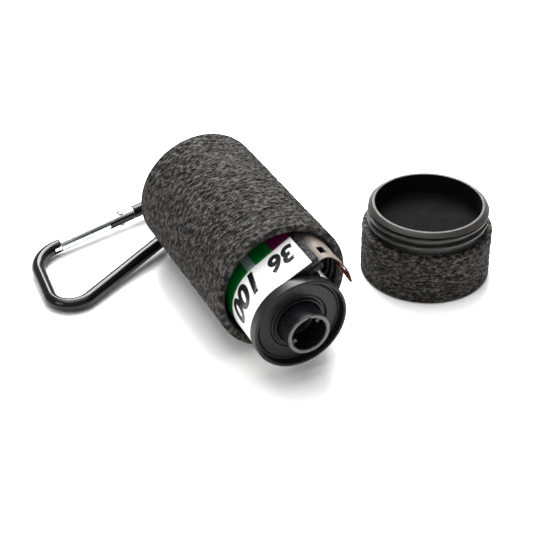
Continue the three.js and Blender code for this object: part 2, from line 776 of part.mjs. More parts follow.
place(carabiner, 'gate_spring', gateSpring(), steel);

// The origin is the middle of the footprint, on the surface that everything stands on.
canisterCase.updateMatrixWorld(true);
const bounds = new THREE.Box3().setFromObject(canisterCase, true);
const centre = bounds.getCenter(new THREE.Vector3());
canisterCase.position.set(-centre.x, -centre.y, -bounds.min.z);

export default canisterCase;
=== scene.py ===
"""Looks of an open film canister: a fuzzy-skinned screw-top canister on its side, its threaded cap
beside it, a 35 mm cartridge part of the way out and a carabiner through the loop on its base."""
import json
import math

import bmesh
import bpy
from mathutils import Matrix, Vector, noise


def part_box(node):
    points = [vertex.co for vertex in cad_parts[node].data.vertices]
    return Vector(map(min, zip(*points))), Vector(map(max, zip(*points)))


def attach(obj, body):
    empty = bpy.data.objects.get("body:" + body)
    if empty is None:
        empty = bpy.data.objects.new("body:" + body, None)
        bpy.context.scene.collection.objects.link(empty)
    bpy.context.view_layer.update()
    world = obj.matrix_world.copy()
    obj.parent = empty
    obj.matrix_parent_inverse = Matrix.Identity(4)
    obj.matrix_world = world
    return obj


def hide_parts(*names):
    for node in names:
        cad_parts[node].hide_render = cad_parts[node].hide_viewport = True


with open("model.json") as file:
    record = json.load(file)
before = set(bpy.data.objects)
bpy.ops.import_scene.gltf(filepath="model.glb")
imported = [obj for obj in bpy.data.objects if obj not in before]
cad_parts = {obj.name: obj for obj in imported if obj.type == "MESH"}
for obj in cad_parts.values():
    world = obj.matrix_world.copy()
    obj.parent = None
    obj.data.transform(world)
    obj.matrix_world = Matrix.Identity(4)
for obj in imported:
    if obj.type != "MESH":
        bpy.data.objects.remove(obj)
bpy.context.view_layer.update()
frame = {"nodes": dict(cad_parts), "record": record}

MM = 0.001
joints = {joint["name"]: joint for joint in frame["record"]["behaviour"]["joints"]}


def span(name):
    """The box of a CAD node in millimetres: lowest and highest corner."""
    low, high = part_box(name)
    return Vector(low) / MM, Vector(high) / MM


def frame_of(origin, x_axis, y_axis, z_axis):
    """The placement of a local millimetre frame in the row frame, in metres."""
    turn = Matrix((x_axis, y_axis, z_axis)).transposed().to_4x4()
    return Matrix.Translation(Vector(origin) * MM) @ turn @ Matrix.Scale(MM, 4)


# ---- where each piece stands ----
body_low, body_high = span("canister_body")
cap_low, cap_high = span("screw_cap")
CANISTER_RADIUS = (body_high.x - body_low.x) / 2
CANISTER_LENGTH = 52.0
CANISTER_BASE = 2.5
BORE_RADIUS = 15.8
EDGE_ROUND = 0.7
axis_x = (body_low.x + body_high.x) / 2
mouth_y = body_low.y

X, Y, Z = Vector((1, 0, 0)), Vector((0, 1, 0)), Vector((0, 0, 1))
# canister: local z runs from the mouth into the canister
canister_place = frame_of((axis_x, mouth_y, CANISTER_RADIUS), -X, Z, Y)
cap_place = frame_of(((cap_low.x + cap_high.x) / 2, (cap_low.y + cap_high.y) / 2, 0), X, Y, Z)

# cartridge: local x to the right, y up, z out of the mouth; z = 0 at the mouth's plane
spool_axis = Vector(joints["spool_turn"]["axis"])
cartridge_origin = Vector(joints["spool_turn"]["pos_m"]) / MM
cartridge_place = frame_of(cartridge_origin, X, spool_axis.cross(X), spool_axis)

# carabiner: local x along the spine, y across it, z square to its plane
spine = Vector(joints["carabiner_swing"]["axis"]).normalized()
plate = Vector(joints["gate_hinge"]["axis"]).normalized()
across = plate.cross(spine)
carabiner_origin = Vector(joints["carabiner_swing"]["pos_m"]) / MM
carabiner_place = frame_of(carabiner_origin, spine, across, plate)


# ---- materials ----
def linear(code):
    """An sRGB hex colour as linear RGBA."""
    parts = [int(code[i : i + 2], 16) / 255 for i in (1, 3, 5)]
    return [p / 12.92 if p <= 0.04045 else ((p + 0.055) / 1.055) ** 2.4 for p in parts] + [1.0]


def per_mm(size):
    """The noise scale that gives features of this many millimetres, in a frame of metres."""
    return 1 / (size * MM)


def add(tree, kind, inputs=(), stops=(), **settings):
    """Adds one node. inputs maps socket names or numbers to a value or to another node's output, and
    stops are a colour ramp's (place, hex colour) pairs."""
    node = tree.nodes.new(kind)
    for key, value in settings.items():
        setattr(node, key, value)
    for key, value in dict(inputs).items():
        if isinstance(value, bpy.types.NodeSocket):
            tree.links.new(value, node.inputs[key])
        else:
            node.inputs[key].default_value = value
    for k, (place, code) in enumerate(stops):
        elements = node.color_ramp.elements
        element = elements[k] if k < len(elements) else elements.new(place)
        element.position = place
        element.color = linear(code)
    return node.outputs[0]


def begin(name, **sockets):
    """A new material with its Principled shader's constant sockets set."""
    made = bpy.data.materials.new(name)
    made.use_nodes = True
    tree = made.node_tree
    shader = tree.nodes["Principled BSDF"]
    for key, value in sockets.items():
        shader.inputs[key.replace("_", " ")].default_value = value
    place = tree.nodes.new("ShaderNodeTexCoord").outputs["Object"]
    return made, tree, shader, place


def finish_with(tree, shader, **sources):
    """Links node outputs to the shader's sockets of the same name."""
    for key, value in sources.items():
        tree.links.new(value, shader.inputs[key.replace("_", " ")])


# A noise keeps mostly between these two values.
QUIET, LOUD = 0.3, 0.7


def plain_surface(name, dark, light, size, rough, depth, **sockets):
    """A surface with fine mottled colour, uneven gloss and a shallow bump, all at one grain size."""
    made, tree, shader, place = begin(name, **sockets)
    mottle = add(tree, "ShaderNodeTexNoise", {"Vector": place, "Scale": per_mm(size), "Detail": 3.0})
    haze = add(tree, "ShaderNodeTexNoise", {"Vector": place, "Scale": per_mm(size * 9), "Detail": 2.0})
    finish_with(
        tree, shader,
        Base_Color=add(tree, "ShaderNodeValToRGB", {"Fac": mottle}, [(QUIET, dark), (LOUD, light)]),
        Roughness=add(tree, "ShaderNodeMapRange", {
            "Value": haze, "From Min": QUIET, "From Max": LOUD, "To Min": rough[0], "To Max": rough[1],
        }),
        Normal=add(tree, "ShaderNodeBump", {"Height": mottle, "Distance": depth * MM}),
    )
    return made


def fused_nylon(name, squeeze):
    """Black nylon filament laid in rows, with painted shade between the strands and a painted highlight on
    their tops. squeeze shortens the streaks along the axis, so that they run round the wall."""
    made, tree, shader, place = begin(name, Specular_IOR_Level=0.25)
    stretched = add(tree, "ShaderNodeMapping", {"Vector": place, "Scale": squeeze})
    # strands are 0.4 mm wide, drawn about 0.57 mm wide and 1.3 mm long so that they show
    streaks = add(tree, "ShaderNodeTexNoise", {"Vector": stretched, "Scale": per_mm(1.3), "Detail": 2.5})
    specks = add(tree, "ShaderNodeTexNoise", {"Vector": place, "Scale": per_mm(0.3), "Detail": 3.0})
    # the streaks set the colour: painted shade between the strands, painted highlight on their tops; the
    # specks add random tone
    tone = add(tree, "ShaderNodeMath", {0: streaks, 1: 0.75, 2: 0.0}, operation="MULTIPLY_ADD")
    both = add(tree, "ShaderNodeMath", {0: specks, 1: 0.25, 2: tone}, operation="MULTIPLY_ADD")
    relief = add(tree, "ShaderNodeBump", {"Height": streaks, "Distance": 1.1 * MM})
    finish_with(
        tree, shader,
        Base_Color=add(tree, "ShaderNodeValToRGB", {"Fac": both}, [
            (0.4, "#020202"), (0.49, "#11110f"), (0.6, "#524f4c"),
        ]),
        Roughness=add(tree, "ShaderNodeMapRange", {
            "Value": specks, "From Min": QUIET, "From Max": LOUD, "To Min": 0.6, "To Max": 0.8,
        }),
        Normal=add(tree, "ShaderNodeBump", {"Height": specks, "Distance": 0.16 * MM, "Normal": relief}),
    )
    return made


# The canister's strands run round Y and the cap's round Z.
canister_nylon = fused_nylon("fused_nylon_canister", (1.0, 2.3, 1.0))
cap_nylon = fused_nylon("fused_nylon_cap", (1.0, 1.0, 2.3))
# The same nylon on the threads: rubbed smooth by the mating part.
rubbed_nylon = plain_surface(
    "rubbed_nylon", "#111110", "#22201e", 0.3, (0.42, 0.55), 0.02, Specular_IOR_Level=0.5,
)
# The inner faces of the print: untouched, dull and black, and coloured darker than the rest of the nylon as
# painted shade inside the bore and the cap's recess.
inner_nylon_painted_shade = plain_surface(
    "inner_nylon_painted_shade", "#030303", "#080808", 0.3, (0.8, 0.9), 0.012, Specular_IOR_Level=0.08,
)
# Stoved enamel on drawn tinplate: deep black with a soft orange-peel gloss.
stoved_enamel = plain_surface(
    "stoved_enamel", "#0d0c0c", "#151414", 1.2, (0.4, 0.5), 0.004,
    Specular_IOR_Level=0.24, Coat_Weight=0.04, Coat_Roughness=0.12,
)
# Moulded polystyrene of the spool: black and glossy with faint flow marks.
moulded_styrene = plain_surface(
    "moulded_styrene", "#0e0e10", "#17171a", 0.8, (0.24, 0.34), 0.004, Specular_IOR_Level=0.5,
)
# The hub's end face is coloured pale grey.
pale_grey_styrene = plain_surface(
    "pale_grey_styrene", "#3d3b39", "#5f5c59", 0.4, (0.35, 0.5), 0.01, Specular_IOR_Level=0.5,
)
# Bare edge of the tinplate lip, cut bright by the shears.
sheared_tin = plain_surface("sheared_tin", "#77736f", "#aaa6a0", 0.3, (0.3, 0.42), 0.01, Metallic=1.0)
# Black anodised aluminium rod: dense and glossy, with one sharp band of light along it.
black_anodised = plain_surface(
    "black_anodised_aluminium", "#080808", "#0f0e0f", 0.7, (0.12, 0.18), 0.002,
    Specular_IOR_Level=0.24,
)
# Bright aluminium, drawn and tumbled.
tumbled_aluminium = plain_surface(
    "tumbled_aluminium", "#c9cccd", "#e6e8e8", 0.6, (0.2, 0.3), 0.006, Metallic=1.0,
)
# Nickel-plated steel rivet, plunger and spring.
plated_steel = plain_surface("plated_steel", "#a9abad", "#c4c6c8", 0.4, (0.2, 0.3), 0.004, Metallic=1.0)
# Varnished label print: each ink has the paper's faint tooth under a thin coat.
VARNISH = {"Specular_IOR_Level": 0.5, "Coat_Weight": 0.35, "Coat_Roughness": 0.15}
label_white = plain_surface("label_white_paper", "#eceeec", "#f8f8f5", 0.5, (0.35, 0.45), 0.004, **VARNISH)
label_green = plain_surface("label_green_ink", "#006a2a", "#007a30", 0.5, (0.3, 0.4), 0.004, **VARNISH)
label_maroon = plain_surface("label_maroon_ink", "#641043", "#74164d", 0.5, (0.3, 0.4), 0.004, **VARNISH)
label_grey = plain_surface("label_grey_ink", "#7f938a", "#9db0a6", 0.5, (0.3, 0.4), 0.004, **VARNISH)
label_black = plain_surface("label_black_ink", "#101012", "#19191b", 0.5, (0.3, 0.4), 0.004, **VARNISH)
# Film: the matt emulsion side is beige, coloured darker here as painted shade inside the canister's mouth;
# the acetate back is red-brown and glossy.
film_emulsion_painted_shade = plain_surface(
    "film_emulsion_painted_shade", "#645b53", "#716860", 2.0, (0.5, 0.6), 0.003, Specular_IOR_Level=0.3,
)
film_acetate = plain_surface(
    "film_acetate", "#5a2c22", "#6f3a2c", 2.0, (0.16, 0.24), 0.003, Specular_IOR_Level=0.6,
)


def woven_velvet():
    """Cotton velvet of the light trap: near-black pile with pale sheen on its tufts."""
    made, tree, shader, place = begin(
        "cotton_velvet", Sheen_Weight=0.3, Sheen_Roughness=0.4, Roughness=0.95, Specular_IOR_Level=0.2,
    )
    # tufts are 0.2 mm across, drawn at 0.45 mm so that they show
    tufts = add(tree, "ShaderNodeTexVoronoi", {"Vector": place, "Scale": per_mm(0.45)})
    patches = add(tree, "ShaderNodeTexNoise", {"Vector": place, "Scale": per_mm(1.5), "Detail": 3.0})
    # the pale centres of the tufts in the base colour are painted sheen, added to the shader's own sheen
    tone = add(tree, "ShaderNodeMath", {0: tufts, 1: patches}, operation="MULTIPLY")
    relief = add(tree, "ShaderNodeBump", {"Height": tufts, "Distance": 0.2 * MM})
    finish_with(
        tree, shader,
        Base_Color=add(tree, "ShaderNodeValToRGB", {"Fac": tone}, [(0.05, "#4a474f"), (0.35, "#121114")]),
        Normal=add(tree, "ShaderNodeBump", {"Height": patches, "Distance": 0.2 * MM, "Normal": relief}),
    )
    return made


def white_sweep():
    """Matt white paper for the floor, very faintly uneven over 40 mm."""
    made, tree, shader, place = begin("white_sweep", Roughness=0.9, Specular_IOR_Level=0.1)
    unevenness = add(tree, "ShaderNodeTexNoise", {"Vector": place, "Scale": per_mm(40), "Detail": 3.0})
    tone = add(tree, "ShaderNodeValToRGB", {"Fac": unevenness}, [(QUIET, "#fafafa"), (LOUD, "#ffffff")])
    finish_with(tree, shader, Base_Color=tone)
    return made


cotton_velvet = woven_velvet()


# ---- outlines ----
def arc_points(centre, radius, start, end, steps):
    """Points on an arc between two angles in degrees."""
    angles = [math.radians(start + (end - start) * i / steps) for i in range(steps + 1)]
    return [Vector((centre[0] + radius * math.cos(a), centre[1] + radius * math.sin(a))) for a in angles]


def eased(points, radius, steps=4, closed=False):
    """A polyline with each corner rounded by an arc of the radius, or less where there's no room.
    A point may carry its own radius as a third number."""
    count = len(points)
    result = []
    for i, point in enumerate(points):
        corner = Vector(point[:2])
        if not closed and i in (0, count - 1):
            result.append(corner)
            continue
        before = Vector(points[i - 1][:2]) - corner
        after = Vector(points[(i + 1) % count][:2]) - corner
        size = point[2] if len(point) > 2 else radius
        half = before.angle(after, math.pi) / 2
        if half > math.radians(89.5) or size <= 0:
            result.append(corner)
            continue
        # a neighbour that is an open end needs none of the side for an arc of its own
        room_before = 1.0 if i == 1 and not closed else 0.48
        room_after = 1.0 if i == count - 2 and not closed else 0.48
        run = min(size / math.tan(half), room_before * before.length, room_after * after.length)
        size = run * math.tan(half)
        inward = (before.normalized() + after.normalized()).normalized()
        centre = corner + inward * (size / math.sin(half))
        first = corner + before.normalized() * run - centre
        last = corner + after.normalized() * run - centre
        turn = math.atan2(first.x * last.y - first.y * last.x, first.dot(last))
        for k in range(steps + 1):
            result.append(centre + Matrix.Rotation(turn * k / steps, 2) @ first)
    return result


# ---- meshes ----
def loft(rings, wrap=False):
    """Faces between rings of equal length. Open lofts close with a fan at each end."""
    sides = len(rings[0])
    verts = [Vector(v) for ring in rings for v in ring]
    faces = []
    count = len(rings)
    for r in range(count if wrap else count - 1):
        low, high = r * sides, ((r + 1) % count) * sides
        for i in range(sides):
            j = (i + 1) % sides
            faces.append((low + i, low + j, high + j, high + i))
    if not wrap:
        for base, flip in ((0, True), ((count - 1) * sides, False)):
            ring = verts[base : base + sides]
            verts.append(sum(ring, Vector()) / sides)
            for i in range(sides):
                j = (i + 1) % sides
                tri = (base + i, base + j, len(verts) - 1)
                faces.append(tri[::-1] if flip else tri)
    return verts, faces


def turned(profile, sides, wrap=False):
    """A profile of (radius or radius(angle), height) points turned about z."""
    rings = []
    for radius, height in profile:
        ring = []
        for i in range(sides):
            angle = 2 * math.pi * i / sides
            r = radius(angle) if callable(radius) else radius
            ring.append((r * math.cos(angle), r * math.sin(angle), height))
        rings.append(ring)
    return loft(rings, wrap)


def drawn_out(outline, low, high, edge=0.0):
    """A closed outline drawn out along z, with its end edges eased a little."""
    middle = sum((Vector(p) for p in outline), Vector((0, 0))) / len(outline)
    rings = []
    for height, inset in ((low, edge), (low + edge, 0), (high - edge, 0), (high, edge)):
        ring = []
        for p in outline:
            pull = (middle - Vector(p)).normalized() * inset
            ring.append((p[0] + pull.x, p[1] + pull.y, height))
        rings.append(ring)
    return loft(rings if edge else [rings[0], rings[3]])


def swept(path, radius, sides):
    """A round rod along flat points, its rings square to the path."""
    rings = []
    last = len(path) - 1
    for i, p in enumerate(path):
        ahead = (path[min(i + 1, last)] - path[max(i - 1, 0)]).normalized()
        out = Vector((-ahead.y, ahead.x))
        ring = []
        for k in range(sides):
            angle = 2 * math.pi * k / sides
            side = radius * math.cos(angle)
            ring.append((p.x + out.x * side, p.y + out.y * side, radius * math.sin(angle)))
        rings.append(ring)
    return loft(rings)


def block(size, centre, edge, steps=2):
    """A box with eased edges, as a loft of rounded rectangles."""
    x, y, z = (s / 2 for s in size)
    rings = []
    levels = [(edge - edge * math.cos(math.pi / 2 * k / steps), edge * math.sin(math.pi / 2 * k / steps))
              for k in range(steps + 1)]
    stack = [(-z + rise, edge - out) for rise, out in levels]
    stack += [(-height, inset) for height, inset in reversed(stack)]
    for height, inset in stack:
        w, d = x - inset, y - inset
        outline = eased([(-w, -d), (w, -d), (w, d), (-w, d)], edge * 0.9, 3, closed=True)
        rings.append([(centre[0] + p.x, centre[1] + p.y, centre[2] + height) for p in outline])
    return loft(rings)


def mesh_object(name, shape, finishes, sharp=35):
    """A mesh object in its local millimetre frame, with outward normals and soft shading."""
    mesh = bpy.data.meshes.new(name)
    mesh.from_pydata([tuple(v) for v in shape[0]], [], shape[1])
    tidy = bmesh.new()
    tidy.from_mesh(mesh)
    bmesh.ops.remove_doubles(tidy, verts=tidy.verts, dist=1e-4)
    bmesh.ops.recalc_face_normals(tidy, faces=tidy.faces)
    tidy.to_mesh(mesh)
    tidy.free()
    mesh.polygons.foreach_set("use_smooth", [True] * len(mesh.polygons))
    mesh.set_sharp_from_angle(angle=math.radians(sharp))
    for finish in finishes:
        mesh.materials.append(finish)
    made = bpy.data.objects.new(name, mesh)
    bpy.context.scene.collection.objects.link(made)
    return made


def combine(target, others, how, sharp=35):
    """Cuts or joins other objects with the target, and removes them."""
    for other in others:
        step = target.modifiers.new("step", "BOOLEAN")
        step.object = other
        step.operation = how
        step.solver = "EXACT"
    depsgraph = bpy.context.evaluated_depsgraph_get()
    result = bpy.data.meshes.new_from_object(target.evaluated_get(depsgraph))
    target.modifiers.clear()
    target.data = result
    for other in others:
        bpy.data.objects.remove(other)
    result.polygons.foreach_set("use_smooth", [True] * len(result.polygons))
    result.set_sharp_from_angle(angle=math.radians(sharp))
    return target


def settle(piece, place, body, *nodes):
    """Moves a local millimetre mesh to its place, ties it to its body and hides the CAD nodes it stands for.
    """
    piece.data.transform(place)
    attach(piece, body)
    if nodes:
        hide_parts(*nodes)
    return piece


def paint(piece, index, chosen):
    """Gives the faces for which chosen(centre, normal) is true another of the piece's finishes."""
    for face in piece.data.polygons:
        if chosen(face.center, face.normal):
            face.material_index = index


# ---- screw thread ----
THREAD_PITCH = 2.3
THREAD_DEPTH = 1.2
THREAD_CLEARANCE = 0.4
THREAD_START = 0.7
SPIGOT_ROOT = BORE_RADIUS - THREAD_CLEARANCE
SPIGOT_LENGTH = 7.2
SPIGOT_BEVEL = 1.1
TURN_SIDES = 320


def ridge(angle, height):
    """How far the thread stands out, 0 to 1, at an angle and a height from its shoulder."""
    turn = height / THREAD_PITCH - angle / (2 * math.pi)
    offset = abs(turn - math.floor(turn) - 0.5)
    flank = min(max((0.32 - offset) / 0.2, 0), 1)
    flank = flank * flank * (3 - 2 * flank)
    run_in = min(max((height - THREAD_START) / (THREAD_PITCH / 2), 0), 1)
    return flank * run_in


def thread_rows(inset, end, step=0.16):
    """Rows of (radius(angle), height) up a thread, rounded at the crests."""
    rows = []
    for k in range(int((end - THREAD_START) / step)):
        height = THREAD_START + k * step
        rows.append((lambda a, h=height: SPIGOT_ROOT + inset + THREAD_DEPTH * ridge(a, h), height))
    return rows


# ---- fuzzy skin ----
FUZZ_LENGTH = 1.5
FUZZ_HEIGHT = 0.7
FUZZ_DEPTH = 0.34
FUZZ_STEP = 0.2


def fuzz(piece, radius, low, high):
    """Roughens the outer wall in short waves that run round it, as a printer's fuzzy skin does."""
    for vertex in piece.data.vertices:
        p = vertex.co
        out = math.hypot(p.x, p.y)
        if out < radius - 0.05 or not low <= p.z <= high:
            continue
        fade = min(1, (p.z - low) / 0.5, (high - p.z) / 0.5)
        wave = noise.noise(Vector((p.x / FUZZ_LENGTH, p.y / FUZZ_LENGTH, p.z / FUZZ_HEIGHT)))
        swell = noise.noise(Vector((p.x / 3.1 + 40, p.y / 3.1, p.z / 1.6)))
        push = min(0, fade * FUZZ_DEPTH * (wave * 1.8 + swell * 0.2 - 0.7))
        p.x += p.x / out * push
        p.y += p.y / out * push


def wall(radius, low, high):
    """Rows close enough together to carry the fuzz, from one height to another."""
    count = max(2, round(abs(high - low) / FUZZ_STEP))
    return [(radius, low + (high - low) * k / count) for k in range(count + 1)]


def canister():
    """The cup: fuzzy wall, eased rim, threaded mouth and plain bore."""
    floor = CANISTER_LENGTH - CANISTER_BASE
    thread_end = SPIGOT_LENGTH + 0.8
    rim = eased([(CANISTER_RADIUS, 0.7), (CANISTER_RADIUS, 0, 0.5), (BORE_RADIUS + 0.4, 0, 0.3),
                 (BORE_RADIUS, 0.5, 0.3), (BORE_RADIUS, 0.65)], 0.4, 5)
    base = eased([(8, CANISTER_LENGTH), (CANISTER_RADIUS, CANISTER_LENGTH, EDGE_ROUND),
                  (CANISTER_RADIUS, CANISTER_LENGTH - 0.8)], EDGE_ROUND, 6)
    profile = [(4, CANISTER_LENGTH)] + [tuple(p) for p in base]
    profile += wall(CANISTER_RADIUS, CANISTER_LENGTH - 0.9, 0.75)
    profile += [tuple(p) for p in rim]
    profile += thread_rows(THREAD_CLEARANCE, thread_end)
    profile += wall(BORE_RADIUS, thread_end + 0.3, floor - 0.4)[::6]
    profile += [(BORE_RADIUS - 0.1, floor - 0.1), (BORE_RADIUS - 0.5, floor), (5, floor)]
    finishes = [canister_nylon, rubbed_nylon, inner_nylon_painted_shade]
    made = mesh_object("fuzzy_canister", turned(profile, TURN_SIDES), finishes, 50)
    fuzz(made, CANISTER_RADIUS, 0.3, CANISTER_LENGTH - 0.2)
    paint(made, 1, lambda c, n: math.hypot(c.x, c.y) < BORE_RADIUS + 1.3 and 0.2 < c.z < thread_end)
    # the bore's faces take the inner finish, coloured darker as painted shade inside the canister
    paint(made, 2, lambda c, n: math.hypot(c.x, c.y) < BORE_RADIUS + 0.3 and thread_end < c.z < floor + 1)
    return settle(made, canister_place, "canister", "canister_body")


def base_loop():
    """The loop on edge behind the base: a rounded rectangle of rounded bar, grown out of the base."""
    lift, bar, width, root = 0.3, 1.9, 3.5, 2.3
    depth, eye = 8.13, 9.4
    floor = lift + 1.4
    near, far = CANISTER_LENGTH + root, CANISTER_LENGTH + root + depth
    sunk = CANISTER_LENGTH - CANISTER_BASE / 2
    outer = [(sunk, lift), (far + bar, lift), (far + bar, floor + eye + bar), (sunk, floor + eye + bar)]
    inner = [(near, floor), (far, floor), (far, floor + eye), (near, floor + eye)]
    outer = eased(outer, 1.6, 8, closed=True)
    inner = eased(inner, 0.8, 8, closed=True)
    edge = 0.35
    section = eased([(0, -width / 2), (1, -width / 2), (1, width / 2), (0, width / 2)], edge, 3, closed=True)
    rings = []
    for a, b in zip(outer, inner):
        ring = []
        length = (b - a).length
        for s in section:
            across_bar = a + (b - a) * s.x
            ring.append((s.y, across_bar.x, across_bar.y) if length else (s.y, a.x, a.y))
        rings.append(ring)
    made = mesh_object("base_loop", loft(rings, wrap=True), [canister_nylon])
    place = frame_of((axis_x - 3.0, mouth_y, 0), X, Y, Z)
    return settle(made, place, "canister")


CAP_BARREL = 14.2
CAP_RECESS = 6.2
SPIGOT_BORE = 14.6


def cap():
    """The cap: fuzzy barrel, smooth threaded spigot with a bevelled rim, shallow recess."""
    top = CAP_BARREL + SPIGOT_LENGTH
    foot = eased([(8, 0), (CANISTER_RADIUS, 0, EDGE_ROUND), (CANISTER_RADIUS, 0.8)], EDGE_ROUND, 6)
    shoulder = eased([(CANISTER_RADIUS, CAP_BARREL - 0.8), (CANISTER_RADIUS, CAP_BARREL, 0.6),
                      (SPIGOT_ROOT, CAP_BARREL, 0.2), (SPIGOT_ROOT, CAP_BARREL + 0.6)], 0.3, 5)
    profile = [(4, 0)] + [tuple(p) for p in foot]
    profile += wall(CANISTER_RADIUS, 0.9, CAP_BARREL - 0.9) + [tuple(p) for p in shoulder]
    crest = SPIGOT_ROOT + THREAD_DEPTH
    for radius, height in thread_rows(0, SPIGOT_LENGTH - SPIGOT_BEVEL):
        profile.append((radius, CAP_BARREL + height))
    rim = eased([(SPIGOT_ROOT + 0.1, top - SPIGOT_BEVEL - 0.25), (crest, top - SPIGOT_BEVEL, 0.15),
                 (SPIGOT_ROOT - 0.05, top, 0.25), (SPIGOT_BORE, top, 0.2),
                 (SPIGOT_BORE, top - CAP_RECESS, 0.8), (4, top - CAP_RECESS)], 0.2, 5)
    profile += [tuple(p) for p in rim]
    made = mesh_object("fuzzy_cap", turned(profile, TURN_SIDES), [cap_nylon, rubbed_nylon, inner_nylon_painted_shade], 50)
    fuzz(made, CANISTER_RADIUS, 0.2, CAP_BARREL - 0.15)
    paint(made, 1, lambda c, n: c.z > CAP_BARREL + 0.1)
    # the recess's faces take the inner finish, coloured darker as painted shade inside the cap
    paint(made, 2, lambda c, n: c.z > 1 and math.hypot(c.x, c.y) < SPIGOT_BORE + 0.05)
    return settle(made, cap_place, "cap", "screw_cap")


# ---- cartridge ----
FLANGE_RADIUS = 12.7
REACH = 13.7
CARTRIDGE_LENGTH = 43.0
SKIRT = 3.0
TIN = 0.4
SHELL_RADIUS = 11.9
GAP = 0.15
LABEL = 0.25
LIP_ANGLE = 28.0
LIP_REACH = 11.0
SLOT = 4.4
FELT = 1.7
FELT_PROUD = 2.0
rear = REACH - CARTRIDGE_LENGTH
middle = REACH - CARTRIDGE_LENGTH / 2
front_edge = REACH - SKIRT - GAP
rear_edge = rear + SKIRT + GAP
upper_lip = SHELL_RADIUS - TIN
lower_lip = upper_lip - SLOT - TIN
along = Vector((math.cos(math.radians(LIP_ANGLE)), math.sin(math.radians(LIP_ANGLE))))
outward = Vector((-along.y, along.x))


def lip_point(reach, height):
    """A point in the cross-section, along the lips and away from the axis."""
    return along * reach + outward * height


def end_cap(side, node, name):
    """A drawn end cap: rolled rim, groove, flat sunk face and a collar round the hub."""
    edge = REACH if side > 0 else rear
    hole = 6.1
    outer = [
        (FLANGE_RADIUS, SKIRT, 0.1), (FLANGE_RADIUS, 0, 0.42), (FLANGE_RADIUS - 0.85, 0, 0.4),
        (FLANGE_RADIUS - 1.05, 2.1, 0.25), (FLANGE_RADIUS - 1.75, 2.1, 0.2), (FLANGE_RADIUS - 1.85, 1.6, 0.2),
        (hole + 1.7, 1.6, 0.3), (hole + 1.35, 2.1, 0.25), (hole + 0.75, 2.1, 0.25),
        (hole + 0.55, 1.25, 0.12), (hole + 0.05, 1.25, 0.12), (hole, 2.5, 0.05),
        (FLANGE_RADIUS - TIN - 0.2, 2.5, 0.3), (FLANGE_RADIUS - TIN, SKIRT, 0.1),
    ]
    profile = [(p.x, edge - side * p.y) for p in eased(outer, 0.1, 5, closed=True)]
    made = mesh_object(name, turned(profile, 160, wrap=True), [stoved_enamel], 60)
    return settle(made, cartridge_place, "cartridge", node)


def spool_hub():
    """The spool: a stepped core, a long front hub with a pale grey end, two keys inside it."""
    tip, rear_tip = REACH + 4.1, rear - 0.5
    outer, bore, socket, core = 5.75, 4.7, 7.0, 4.6
    flange, thick = 10.5, 0.8
    front, back = middle + 17.8, middle - 17.8
    profile = eased([
        (0.5, tip - socket), (bore, tip - socket, 0.3), (bore, tip, 0.3), (outer, tip, 0.35),
        (outer, front + thick, 0.1), (flange, front + thick, 0.2), (flange, front, 0.2), (core, front, 0.2),
        (core, back, 0.2), (flange, back, 0.2), (flange, back - thick, 0.2), (outer, back - thick, 0.1),
        (outer, rear_tip, 0.2), (bore, rear_tip, 0.2), (bore, rear + 2.5, 0.2), (0.5, rear + 2.5),
    ], 0.1, 4)
    shape = turned([tuple(p) for p in profile], 96)
    hub = mesh_object("spool_hub", shape, [moulded_styrene, pale_grey_styrene])
    keys = []
    for side in (-1, 1):
        bar = mesh_object("key", block((1.6, 1.3, 3.5), (side * (bore - 0.6), 0, tip - 3.35), 0.15), [])
        keys.append(bar)
    notch = mesh_object("notch", block((1.2, 0.9, 1.0), (bore * 0.55, bore * 0.85, tip), 0.1), [])
    combine(hub, keys, "UNION")
    combine(hub, [notch], "DIFFERENCE")
    paint(hub, 1, lambda c, n: c.z > tip - 0.14 and n.z > 0.4)
    turn = Matrix.Rotation(math.radians(35), 4, "Z")
    hub.data.transform(turn)
    return settle(hub, cartridge_place, "spool", "spool")


def sheet_path(radius, height, reach, stop, steps):
    """The label's or tin's path: from the lip's tip, along it, and round the body to an angle."""
    root = 90 + LIP_ANGLE
    points = [lip_point(reach * (1 - k / 6), height) for k in range(6)]
    return points + arc_points((0, 0), radius, root, stop, steps)


def ribbon(path, half):
    """For each point of a cross-section path, the distance to it and the way out to the sheet's face."""
    lengths = [0.0]
    for a, b in zip(path, path[1:]):
        lengths.append(lengths[-1] + (b - a).length)
    normals = []
    for i in range(len(path)):
        ahead = (path[min(i + 1, len(path) - 1)] - path[max(i - 1, 0)]).normalized()
        normals.append(Vector((-ahead.y, ahead.x)) * half)
    return lengths, normals


